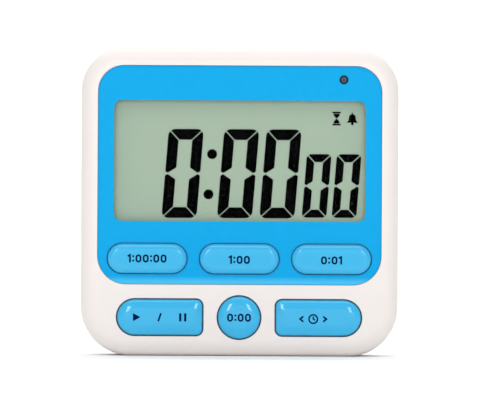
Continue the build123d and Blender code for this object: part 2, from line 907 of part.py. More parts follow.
# ---- battery door ----
with BuildPart() as battery_door:
    with BuildSketch(at_depth(door_front)):
        with Locations((0, cell_height)):
            RectangleRounded(2 * door_half_length, 2 * door_half_height, door_corner)
    extrude(amount=-door_thickness)
    # latch leg above the cell and two locating feet below it
    with BuildSketch(at_depth(door_front - leg_depth)):
        with Locations((0, bay_high - fit - leg_thickness / 2)):
            Rectangle(latch_width, leg_thickness)
        for side in (-1, 1):
            with Locations((side * foot_offset, bay_low + fit + leg_thickness / 2)):
                Rectangle(foot_width, leg_thickness)
    extrude(amount=-leg_depth)
    with BuildSketch(at_depth(body_back)):
        with Locations((0, bay_high - grip_pitch)):
            with GridLocations(0, grip_pitch, 1, grip_count):
                SlotOverall(grip_width, grip_pitch / 2)
    extrude(amount=grip_groove, mode=Mode.SUBTRACT)

# ---- battery cell, lying along X with its nub to the right ----
cell_plane = Plane(
    origin=point(spring_end, cell_depth, cell_height), x_dir=(0, 1, 0), z_dir=(1, 0, 0)
)
can_radius = cell_radius - jacket_thickness
can_length = cell_length - nub_length
with BuildPart() as battery_can:
    with BuildSketch(cell_plane):
        Circle(can_radius)
    extrude(amount=can_length)
    fillet(battery_can.edges().filter_by(GeomType.CIRCLE), jacket_inset / 2)
    with BuildSketch(cell_plane.offset(can_length)):
        Circle(nub_radius)
    extrude(amount=nub_length)
    fillet(battery_can.faces().sort_by(Axis.X)[-1].edges(), nub_round)

with BuildPart() as battery_jacket:
    with BuildSketch(cell_plane.offset(jacket_inset)):
        Circle(cell_radius)
        Circle(can_radius, mode=Mode.SUBTRACT)
    extrude(amount=can_length - 2 * jacket_inset)

# ---- battery contacts with their solder tabs, and the coil spring ----
tab_low = bay_low - bay_wall - tab_length


def make_contact(side):
    """Flat contact plate against one end wall of the bay; its tab leaves through the slit."""
    with BuildPart() as contact:
        inner_face = side * (bay_half_length - contact_thickness)
        with BuildSketch(Plane.YZ.offset(inner_face)):
            with Locations((panel_face_y + cell_depth, cell_height)):
                Rectangle(contact_size, contact_size)
            with Locations((panel_face_y + cell_depth, (tab_low + cell_height) / 2)):
                Rectangle(tab_width, cell_height - tab_low)
        extrude(amount=side * contact_thickness)
    return contact


positive_contact = make_contact(1)
negative_contact = make_contact(-1)

coil_rise = spring_length - 2 * spring_wire
coil_start = point(spring_end - spring_length + spring_wire, cell_depth, cell_height)
with BuildPart() as battery_spring:
    with BuildLine() as coil:
        Helix(
            pitch=coil_rise / spring_turns,
            height=coil_rise,
            radius=spring_radius,
            center=coil_start,
            direction=(1, 0, 0),
        )
    with BuildSketch(Plane(origin=coil.line @ 0, z_dir=coil.line % 0)):
        Circle(spring_wire)
    sweep(path=coil.line, is_frenet=True)

# ---- battery wires, from the tabs down to the board ----
wire_x = bay_half_length - contact_thickness / 2
wire_end_z = board_high - wire_end_drop


def make_battery_wire(side):
    """One hookup wire, from the end of a solder tab to the rear of the board."""
    return make_wires(
        [
            [
                (side * wire_x, cell_depth, tab_low),
                (side * wire_x, cell_depth, wire_end_z),
                (side * wire_x, board_back, wire_end_z),
            ]
        ],
        wire_bend,
        wire_radius,
    )


positive_wire = make_battery_wire(1)
negative_wire = make_battery_wire(-1)

# ---- kickstand: a plate with a heel that stops it, on two pins ----
stand_front = hinge_depth - stand_thickness / 2
stand_high = hinge_height + heel_length
with BuildPart() as kickstand:
    with BuildSketch(at_depth(stand_front)):
        add(soft_rectangle(stand_width / 2, stand_low, stand_high, stand_corner, heel_corner))
    extrude(amount=-stand_thickness)
    with BuildSketch(Plane.YZ.offset(-(stand_width / 2 + stand_gap + pin_length))):
        with Locations((panel_face_y + hinge_depth, hinge_height)):
            Circle(pin_radius)
    extrude(amount=stand_width + 2 * (stand_gap + pin_length))

# ---- magnets ----
with BuildPart() as magnets:
    with BuildSketch(at_depth(magnet_front)):
        with Locations(*magnet_spots):
            Circle(magnet_radius)
    extrude(amount=-magnet_thickness)
    chamfer(magnets.faces().filter_by(Plane.XZ).group_by(Axis.Y)[-1].edges(), magnet_proud)

# ---- sounder: brass plate, ceramic disc and its two wires ----
ring_front = plate_front - ring_height
piezo_front = ring_front - piezo_thickness
ceramic_front = piezo_front - piezo_thickness
with BuildPart() as piezo_plate:
    with BuildSketch(at_depth(piezo_front)):
        with Locations(piezo_spot):
            Circle(piezo_radius)
    extrude(amount=-piezo_thickness)

with BuildPart() as piezo_ceramic:
    with BuildSketch(at_depth(ceramic_front)):
        with Locations(piezo_spot):
            Circle(ceramic_radius)
    extrude(amount=-piezo_thickness)

piezo_wire_end = piezo_spot[1] - piezo_wire_drop
piezo_wires = make_wires(
    [
        [
            (piezo_spot[0] + reach, start, piezo_spot[1]),
            (piezo_spot[0] + reach, start - piezo_wire_rise, piezo_spot[1]),
            (piezo_spot[0] + reach, start - piezo_wire_rise, piezo_wire_end),
            (piezo_spot[0] + reach, board_back, piezo_wire_end),
        ]
        for reach, start in ((0, ceramic_front), (piezo_wire_reach, piezo_front))
    ],
    thin_wire_bend,
    thin_wire_radius,
)

# ---- sound switch on the board, its lever, and the slider in the rear cover ----
lever_front = board_back + switch_depth / 2
lever_back = board_back + switch_depth + lever_rise
with BuildPart() as switch_housing:
    with BuildSketch(at_depth(board_back)):
        with Locations(slider_spot):
            Rectangle(switch_length, switch_height)
    extrude(amount=-switch_depth)
    with BuildSketch(at_depth(board_back + switch_depth)):
        with Locations(slider_spot):
            Rectangle(
                lever_width + 2 * (switch_travel + slide_clearance), lever_height + 2 * fit
            )
    extrude(amount=switch_depth / 2 + fit, mode=Mode.SUBTRACT)

with BuildPart() as switch_lever:
    with BuildSketch(at_depth(lever_front)):
        with Locations(slider_spot):
            Rectangle(lever_width, lever_height)
    extrude(amount=-(lever_back - lever_front))

with BuildPart() as sound_slider:
    with BuildSketch(at_depth(slide_front)):
        with Locations(slider_spot):
            Rectangle(plate_length, plate_height)
    extrude(amount=-plate_thickness)
    with BuildSketch(at_depth(slide_front + plate_thickness)):
        with Locations(slider_spot):
            Rectangle(knob_length, knob_height)
    extrude(amount=-(body_back + knob_proud - slide_front - plate_thickness))
    with BuildSketch(at_depth(body_back + knob_proud)):
        with Locations(slider_spot):
            with GridLocations(grip_pitch, 0, grip_count, 1):
                Rectangle(grip_groove, knob_height)
    extrude(amount=grip_groove, mode=Mode.SUBTRACT)
    # fork that straddles the lever
    prong_x = lever_width / 2 + fit + prong_thickness / 2
    with BuildSketch(at_depth(board_back + switch_depth + grip_groove)):
        with Locations(slider_spot):
            with GridLocations(2 * prong_x, 0, 2, 1):
                Rectangle(prong_thickness, knob_height)
    extrude(amount=-(slide_front - board_back - switch_depth - grip_groove))

# ---- case screws, with a cross recess ----
with BuildPart() as case_screws:
    with BuildSketch(at_depth(head_seat)):
        with Locations(*case_screw_spots):
            Circle(head_radius)
    extrude(amount=-head_height)
    fillet(case_screws.faces().filter_by(Plane.XZ).group_by(Axis.Y)[-1].edges(), head_height / 3)
    with BuildSketch(at_depth(head_seat + head_height)):
        with Locations(*case_screw_spots):
            Rectangle(recess_length, recess_slot)
            Rectangle(recess_slot, recess_length)
    extrude(amount=head_height / 2, mode=Mode.SUBTRACT)
    with BuildSketch(at_depth(head_seat)):
        with Locations(*case_screw_spots):
            Circle(screw_radius)
    extrude(amount=screw_length)

# ---- one STEP file for each sub-part ----
sub_parts = {
    "front_shell": front_shell,
    "face_panel": face_panel,
    "lens_tape": lens_tape,
    "display_lens": display_lens,
    "lcd_front_polariser": lcd_front_polariser,
    "lcd_front_glass": lcd_front_glass,
    "lcd_rear_glass": lcd_rear_glass,
    "lcd_reflector": lcd_reflector,
    "lcd_clamp": lcd_clamp,
    "zebra_strip": zebra_strip,
    "key_mat": key_mat,
    "circuit_board": circuit_board,
    "chip_cover": chip_cover,
    "quartz_crystal": quartz_crystal,
    "board_resistors": board_resistors,
    "board_capacitors": board_capacitors,
    "board_screws": board_screws,
    "alarm_lamp": alarm_lamp,
    "lamp_leads": lamp_leads,
    "lamp_wires": lamp_wires,
    "rear_cover": rear_cover,
    "battery_door": battery_door,
    "battery_can": battery_can,
    "battery_jacket": battery_jacket,
    "battery_spring": battery_spring,
    "positive_contact": positive_contact,
    "negative_contact": negative_contact,
    "positive_wire": positive_wire,
    "negative_wire": negative_wire,
    "kickstand": kickstand,
    "magnets": magnets,
    "piezo_plate": piezo_plate,
    "piezo_ceramic": piezo_ceramic,
    "piezo_wires": piezo_wires,
    "switch_housing": switch_housing,
    "switch_lever": switch_lever,
    "sound_slider": sound_slider,
    "case_screws": case_screws,
}
for name in keys:
    sub_parts[f"{name}_button"] = caps[name]
    sub_parts[f"{name}_contact_pill"] = pills[name]

os.makedirs("parts", exist_ok=True)
for name, sub_part in sub_parts.items():
    sub_part.part.label = name
    export_step(sub_part.part, f"parts/{name}.step")
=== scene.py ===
import logging
import math
from dataclasses import dataclass, field
from enum import Enum

import bmesh
import bpy
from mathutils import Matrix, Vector


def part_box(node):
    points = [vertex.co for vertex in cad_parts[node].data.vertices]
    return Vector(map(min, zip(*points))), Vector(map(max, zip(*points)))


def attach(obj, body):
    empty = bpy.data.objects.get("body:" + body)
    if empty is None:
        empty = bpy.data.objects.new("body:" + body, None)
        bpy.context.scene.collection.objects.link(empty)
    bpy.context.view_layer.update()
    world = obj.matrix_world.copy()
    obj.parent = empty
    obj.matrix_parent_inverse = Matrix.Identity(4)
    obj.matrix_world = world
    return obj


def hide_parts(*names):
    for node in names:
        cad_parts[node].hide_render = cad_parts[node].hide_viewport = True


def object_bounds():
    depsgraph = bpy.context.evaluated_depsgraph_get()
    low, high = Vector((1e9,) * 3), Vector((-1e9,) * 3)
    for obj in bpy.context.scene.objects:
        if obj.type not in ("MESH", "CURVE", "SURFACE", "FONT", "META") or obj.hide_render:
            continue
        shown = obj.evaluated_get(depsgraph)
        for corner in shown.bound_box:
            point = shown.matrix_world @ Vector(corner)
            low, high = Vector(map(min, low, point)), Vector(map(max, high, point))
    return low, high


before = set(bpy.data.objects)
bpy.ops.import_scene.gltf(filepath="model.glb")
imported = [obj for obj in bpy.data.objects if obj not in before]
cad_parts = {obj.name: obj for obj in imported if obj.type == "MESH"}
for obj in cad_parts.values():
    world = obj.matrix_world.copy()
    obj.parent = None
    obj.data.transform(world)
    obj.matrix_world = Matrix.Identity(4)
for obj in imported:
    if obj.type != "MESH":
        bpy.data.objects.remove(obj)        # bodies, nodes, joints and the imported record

CAD_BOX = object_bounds()
MM = 0.001
LOG = logging.getLogger("timer")

Point = tuple[float, float]
Outline = list[Point]


# ---------------------------------------------------------------- finishes
class Grain(Enum):
    """Kind of fine relief that a surface carries."""

    POLISHED = "polished"
    SPARKED = "sparked"
    BRUSHED = "brushed"
    PEBBLED = "pebbled"


@dataclass(frozen=True)
class Finish:
    """A surface finish with its own colour drift, gloss drift and fine relief.

    Colours are display values from 0 to 1; lengths are in metres.
    """

    name: str
    colour: tuple[float, float, float]
    roughness: float = 0.4
    gloss_drift: float = 0.08
    colour_drift: float = 0.03
    drift_size: float = 4 * MM
    metallic: float = 0.0
    grain: Grain = Grain.SPARKED
    grain_size: float = 0.25 * MM
    grain_depth: float = 0.004 * MM
    coat: float = 0.0
    coat_roughness: float = 0.05
    alpha: float = 1.0
    ior: float = 1.46
    mirror: float = 0.5
    # Painted reflection: the pale colour is faded in below a band of heights, standing in for the
    # bright floor reflected in a lower edge.
    pale: tuple[float, float, float] | None = None
    painted_reflection_band: tuple[float, float] = (0.0, 1.0)

    @staticmethod
    def linear(
        colour: tuple[float, float, float], factor: float = 1.0
    ) -> tuple[float, float, float, float]:
        """A display colour in linear light.

        Args:
            colour: red, green and blue from 0 to 1.
            factor: brightness that the colour is multiplied by.

        Returns:
            Red, green, blue and an opaque alpha.
        """
        parts = [c / 12.92 if c <= 0.04045 else ((c + 0.055) / 1.055) ** 2.4 for c in colour]
        return (parts[0] * factor, parts[1] * factor, parts[2] * factor, 1.0)

    def material(self) -> bpy.types.Material:
        """The procedural material of this finish, made once and shared.

        Returns:
            The material.
        """
        made = bpy.data.materials.get(self.name)
        if made:
            return made
        made = bpy.data.materials.new(self.name)
        made.use_nodes = True
        nodes, links = made.node_tree.nodes, made.node_tree.links
        shader = nodes["Principled BSDF"]
        shader.inputs["Metallic"].default_value = self.metallic
        shader.inputs["Coat Weight"].default_value = self.coat
        shader.inputs["Coat Roughness"].default_value = self.coat_roughness
        shader.inputs["Alpha"].default_value = self.alpha
        shader.inputs["IOR"].default_value = self.ior
        shader.inputs["Specular IOR Level"].default_value = self.mirror
        place = nodes.new("ShaderNodeTexCoord")
        drift = self._noise(nodes, links, place, 1 / self.drift_size, 3.0)
        tone = nodes.new("ShaderNodeMix")
        tone.data_type = "RGBA"
        tone.inputs["A"].default_value = self.linear(self.colour, 1 - self.colour_drift)
        tone.inputs["B"].default_value = self.linear(self.colour, 1 + self.colour_drift)
        links.new(drift, tone.inputs["Factor"])
        colour = tone.outputs["Result"]
        # painted reflection of the bright floor, faded in towards the bottom
        if self.pale:
            colour = self._painted_floor_reflection(nodes, links, place, colour)
        links.new(colour, shader.inputs["Base Color"])
        gloss = nodes.new("ShaderNodeMapRange")
        gloss.inputs["To Min"].default_value = max(0.02, self.roughness - self.gloss_drift / 2)
        gloss.inputs["To Max"].default_value = min(1.0, self.roughness + self.gloss_drift / 2)
        links.new(drift, gloss.inputs["Value"])
        links.new(gloss.outputs["Result"], shader.inputs["Roughness"])
        if self.grain is not Grain.POLISHED:
            relief = nodes.new("ShaderNodeBump")
            relief.inputs["Strength"].default_value = 1.0
            relief.inputs["Distance"].default_value = self.grain_depth
            links.new(self._grain(nodes, links, place), relief.inputs["Height"])
            links.new(relief.outputs["Normal"], shader.inputs["Normal"])
        return made

    def _painted_floor_reflection(
        self,
        nodes: bpy.types.Nodes,
        links: bpy.types.NodeLinks,
        place: bpy.types.Node,
        colour: bpy.types.NodeSocket,
    ) -> bpy.types.NodeSocket:
        """Paints a reflection of the bright floor: fades the colour to the pale one over a band of
        heights, fully pale below it.

        Args:
            nodes: the material's nodes.
            links: the material's links.
            place: the texture coordinate node.
            colour: the socket that holds the plain colour.

        Returns:
            The socket that holds the faded colour.
        """
        axes = nodes.new("ShaderNodeSeparateXYZ")
        links.new(place.outputs["Object"], axes.inputs["Vector"])
        fade = nodes.new("ShaderNodeMapRange")
        fade.inputs["From Min"].default_value = self.painted_reflection_band[1]
        fade.inputs["From Max"].default_value = self.painted_reflection_band[0]
        links.new(axes.outputs["Z"], fade.inputs["Value"])
        mixed = nodes.new("ShaderNodeMix")
        mixed.data_type = "RGBA"
        mixed.inputs["B"].default_value = self.linear(self.pale)
        links.new(fade.outputs["Result"], mixed.inputs["Factor"])
        links.new(colour, mixed.inputs["A"])
        return mixed.outputs["Result"]

    def _grain(
        self, nodes: bpy.types.Nodes, links: bpy.types.NodeLinks, place: bpy.types.Node
    ) -> bpy.types.NodeSocket:
        """The height pattern of the grain.

        Args:
            nodes: the material's nodes.
            links: the material's links.
            place: the texture coordinate node.

        Returns:
            The socket that holds the height.
        """
        if self.grain is Grain.PEBBLED:
            cells = nodes.new("ShaderNodeTexVoronoi")
            cells.inputs["Scale"].default_value = 1 / self.grain_size
            links.new(place.outputs["Object"], cells.inputs["Vector"])
            return cells.outputs["Distance"]
        if self.grain is Grain.BRUSHED:
            stretch = nodes.new("ShaderNodeMapping")
            stretch.inputs["Scale"].default_value = (0.05, 1.0, 1.0)
            links.new(place.outputs["Object"], stretch.inputs["Vector"])
            fibres = nodes.new("ShaderNodeTexNoise")
            fibres.inputs["Scale"].default_value = 1 / self.grain_size
            links.new(stretch.outputs["Vector"], fibres.inputs["Vector"])
            return fibres.outputs["Fac"]
        return self._noise(nodes, links, place, 1 / self.grain_size, 2.0)

    @staticmethod
    def _noise(
        nodes: bpy.types.Nodes,
        links: bpy.types.NodeLinks,
        place: bpy.types.Node,
        scale: float,
        detail: float,
    ) -> bpy.types.NodeSocket:
        """A noise pattern fixed to the object.

        Args:
            nodes: the material's nodes.
            links: the material's links.
            place: the texture coordinate node.
            scale: features per metre.
            detail: octaves of finer noise.

        Returns:
            The socket that holds the noise, from 0 to 1.
        """
        noise = nodes.new("ShaderNodeTexNoise")
        noise.inputs["Scale"].default_value = scale
        noise.inputs["Detail"].default_value = detail
        links.new(place.outputs["Object"], noise.inputs["Vector"])
        return noise.outputs["Fac"]


WHITE_FRAME = Finish(
    "white_frame_finish", (0.885, 0.857, 0.843), 0.38, colour_drift=0.012, drift_size=9 * MM,
    grain_size=0.35 * MM, grain_depth=0.0015 * MM,
)
WHITE_REAR = Finish(
    "white_rear_finish", (0.875, 0.85, 0.84), 0.55, colour_drift=0.015, drift_size=7 * MM,
    grain_size=0.3 * MM, grain_depth=0.008 * MM,
)
# Painted reflection: the panel's lower border is painted paler, standing in for the bright floor
# reflected in its lower edge.
PANEL_BLUE = Finish(
    "panel_blue_finish", (0.03, 0.618, 0.85), 0.5, colour_drift=0.04, drift_size=1.6 * MM,
    grain_size=0.3 * MM, grain_depth=0.002 * MM, mirror=0.1, pale=(0.28, 0.72, 0.90),
    painted_reflection_band=(18.0 * MM, 19.3 * MM),
)
KEY_BLUE = Finish(
    "key_blue_finish", (0.20, 0.675, 0.86), 0.07, gloss_drift=0.03, colour_drift=0.03,
    drift_size=2.5 * MM, grain_size=0.5 * MM, grain_depth=0.0004 * MM,
)
LEGEND_INK = Finish(
    "legend_ink_finish", (0.0, 0.10, 0.26), 0.5, colour_drift=0.05, drift_size=0.6 * MM,
    grain_size=0.2 * MM, grain_depth=0.001 * MM, mirror=0.02,
)
SEGMENT_BLACK = Finish(
    "segment_black_finish", (0.003, 0.003, 0.004), 0.6, colour_drift=0.05, drift_size=2 * MM,
    grain=Grain.POLISHED, mirror=0.0,
)
DISPLAY_BACKING = Finish(
    "display_backing_finish", (0.60, 0.69, 0.595), 0.6, colour_drift=0.015, drift_size=6 * MM,
    grain_size=0.12 * MM, grain_depth=0.0008 * MM,
)
CLEAR_LENS = Finish(
    "clear_lens_finish", (0.10, 0.11, 0.11), 0.04, gloss_drift=0.02, colour_drift=0.01,
    grain=Grain.POLISHED, alpha=0.03, ior=1.49,
)
DISPLAY_GLASS = Finish(
    "display_glass_finish", (0.80, 0.88, 0.82), 0.05, gloss_drift=0.02, colour_drift=0.01,
    grain=Grain.POLISHED, alpha=0.10, ior=1.5,
)
POLARISER = Finish(
    "polariser_finish", (0.635, 0.71, 0.63), 0.6, gloss_drift=0.04, colour_drift=0.01,
    grain_size=0.15 * MM, grain_depth=0.0006 * MM, mirror=0.1,
)
FOAM_TAPE = Finish(
    "foam_tape_finish", (0.90, 0.91, 0.90), 0.8, grain=Grain.PEBBLED, grain_size=0.2 * MM,
)
INNER_PLASTIC = Finish("inner_plastic_finish", (0.86, 0.86, 0.83), 0.5)
SILICONE = Finish(
    "silicone_finish", (0.78, 0.80, 0.82), 0.55, grain_size=0.2 * MM, grain_depth=0.006 * MM,
)
CARBON = Finish("carbon_finish", (0.05, 0.05, 0.05), 0.85, grain=Grain.PEBBLED)
ZEBRA = Finish(
    "zebra_finish", (0.25, 0.25, 0.28), 0.7, grain=Grain.BRUSHED, grain_size=0.05 * MM,
)
BOARD_MASK = Finish(
    "board_mask_finish", (0.06, 0.34, 0.16), 0.32, colour_drift=0.12, drift_size=2 * MM,
    grain_size=0.4 * MM, coat=0.2,
)
EPOXY = Finish("epoxy_finish", (0.03, 0.03, 0.03), 0.12, grain_size=1.5 * MM, coat=0.4)
COMPONENT_BLACK = Finish("component_black_finish", (0.06, 0.06, 0.07), 0.5)
COMPONENT_TAN = Finish("component_tan_finish", (0.64, 0.47, 0.30), 0.45)
STEEL = Finish(
    "steel_finish", (0.76, 0.77, 0.78), 0.28, metallic=1.0, grain=Grain.BRUSHED,
    grain_size=0.08 * MM, grain_depth=0.002 * MM,
)
NICKEL = Finish(
    "nickel_finish", (0.80, 0.79, 0.77), 0.18, metallic=1.0, colour_drift=0.04,
    drift_size=2 * MM, grain_size=0.6 * MM, grain_depth=0.002 * MM,
)
BRASS = Finish("brass_finish", (0.82, 0.66, 0.34), 0.3, metallic=1.0, colour_drift=0.08)
PIEZO_WHITE = Finish("piezo_white_finish", (0.88, 0.86, 0.80), 0.5)
LAMP_LENS = Finish(
    "lamp_lens_finish", (0.10, 0.14, 0.20), 0.12, gloss_drift=0.04, drift_size=0.8 * MM,
    grain=Grain.POLISHED, coat=0.5,
)
CELL_JACKET = Finish(
    "cell_jacket_finish", (0.15, 0.25, 0.45), 0.25, drift_size=3 * MM, grain_size=1 * MM,
    grain_depth=0.003 * MM, coat=0.4,
)
RED_WIRE = Finish("red_wire_finish", (0.70, 0.06, 0.05), 0.35)
BLACK_WIRE = Finish("black_wire_finish", (0.04, 0.04, 0.04), 0.35)
GREY_WIRE = Finish("grey_wire_finish", (0.46, 0.46, 0.48), 0.35)
SWEEP_PAPER = Finish(
    "sweep_paper", (0.975, 0.975, 0.975), 0.8, grain_size=2 * MM, mirror=0.2,
)
SLIDER_GREY = Finish(
    "slider_grey_finish", (0.36, 0.39, 0.43), 0.5, grain_size=0.2 * MM, grain_depth=0.006 * MM,
)


# ---------------------------------------------------------------- mesh helpers
def dress(node: str, finish: Finish) -> None:
    """Gives a carried-over node its finish.

    Args:
        node: the node's name.
        finish: the finish that it takes.
    """
    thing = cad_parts[node]
    thing.data.materials.clear()
    thing.data.materials.append(finish.material())


def finish_piece(
    name: str, mesh: bmesh.types.BMesh, finish: Finish, body: str, smooth: bool = False
) -> bpy.types.Object:
    """Turns a mesh in the making into a piece that rides on a body.

    Args:
        name: the piece's name.
        mesh: the mesh in the making; it is freed here.
        finish: the piece's finish.
        body: the body that it rides on.
        smooth: whether its faces are shaded smooth.

    Returns:
        The piece.
    """
    bmesh.ops.recalc_face_normals(mesh, faces=mesh.faces)
    data = bpy.data.meshes.new(name)
    mesh.to_mesh(data)
    mesh.free()
    for face in data.polygons:
        face.use_smooth = smooth
    data.materials.append(finish.material())
    piece = bpy.data.objects.new(name, data)
    bpy.context.scene.collection.objects.link(piece)
    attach(piece, body)
    return piece


def slab(mesh: bmesh.types.BMesh, outline: Outline, front: float, back: float) -> None:
    """Adds a thin upright plate with the given outline.

    Args:
        mesh: the mesh that it is added to.
        outline: the plate's corners in X and Z, in metres, in order.
        front: Y of its front face.
        back: Y of its rear face.
    """
    near = [mesh.verts.new((x, front, z)) for x, z in outline]
    far = [mesh.verts.new((x, back, z)) for x, z in outline]
    mesh.faces.new(near)
    mesh.faces.new(reversed(far))
    for here in range(len(outline)):
        there = (here + 1) % len(outline)
        mesh.faces.new((near[there], near[here], far[here], far[there]))


def band(
    mesh: bmesh.types.BMesh, path: Outline, width: float, front: float, back: float,
    closed: bool = False,
) -> None:
    """Adds a flat band of even width along a path, with mitred corners.

    Args:
        mesh: the mesh that it is added to.
        path: the band's centre line in X and Z, in metres.
        width: the band's width.
        front: Y of its front face.
        back: Y of its rear face.
        closed: whether the path's end joins its start.
    """
    count = len(path)
    sides: tuple[Outline, Outline] = ([], [])
    for here, (x, z) in enumerate(path):
        before = path[here - 1] if closed or here else None
        after = path[(here + 1) % count] if closed or here < count - 1 else None
        steps = [
            Vector((b[0] - a[0], b[1] - a[1])).normalized()
            for a, b in ((before, (x, z)), ((x, z), after))
            if a is not None and b is not None
        ]
        heading = sum(steps, Vector((0, 0))).normalized()
        reach = width / 2 / max(0.3, heading.dot(steps[0]))
        across = Vector((-heading.y, heading.x)) * reach
        sides[0].append((x + across.x, z + across.y))
        sides[1].append((x - across.x, z - across.y))
    rows = [[mesh.verts.new((x, y, z)) for x, z in side] for side in sides for y in (front, back)]
    left_near, left_far, right_near, right_far = rows
    last = count if closed else count - 1
    for here in range(last):
        there = (here + 1) % count
        mesh.faces.new((left_near[here], left_near[there], right_near[there], right_near[here]))
        mesh.faces.new((left_far[there], left_far[here], right_far[here], right_far[there]))
        mesh.faces.new((left_near[there], left_near[here], left_far[here], left_far[there]))
        mesh.faces.new((right_near[here], right_near[there], right_far[there], right_far[here]))
    if not closed:
        for end in (0, count - 1):
            mesh.faces.new((left_near[end], right_near[end], right_far[end], left_far[end]))


def arc(
    centre: Point, radius: float, start: float, sweep: float, steps: int = 12
) -> Outline:
    """Points along a circular arc.

    Args:
        centre: the arc's centre in X and Z.
        radius: its radius.
        start: the first point's angle in degrees, anticlockwise from +X.
        sweep: the angle covered, in degrees; it is negative for a clockwise arc.
        steps: how many pieces the arc is cut into.

    Returns:
        steps + 1 points.
    """
    angles = [math.radians(start + sweep * step / steps) for step in range(steps + 1)]
    return [(centre[0] + radius * math.cos(a), centre[1] + radius * math.sin(a)) for a in angles]


def rounded_outline(
    half_x: float, half_z: float, radii: tuple[float, float], steps: int = 10
) -> Outline:
    """A rectangle about the origin with rounded ends.

    Args:
        half_x: half its width.
        half_z: half its height.
        radii: corner radius at its left end and at its right end.
        steps: how many pieces each corner is cut into.

    Returns:
        Its corners, anticlockwise from the upper end of its right side.
    """
    path: Outline = []
    for side, up, start in ((1, 1, 0), (-1, 1, 90), (-1, -1, 180), (1, -1, 270)):
        radius = max(0.0, min(radii[1] if side > 0 else radii[0], half_x, half_z))
        path += arc((side * (half_x - radius), up * (half_z - radius)), radius, start, 90, steps)
    return path


def shift(path: Outline, centre: Point, scale: float = 1.0) -> Outline:
    """The same outline moved, and drawn larger or smaller.

    Args:
        path: the outline.
        centre: where its origin goes.
        scale: what its sizes are multiplied by.

    Returns:
        The new outline.
    """
    return [(centre[0] + x * scale, centre[1] + z * scale) for x, z in path]


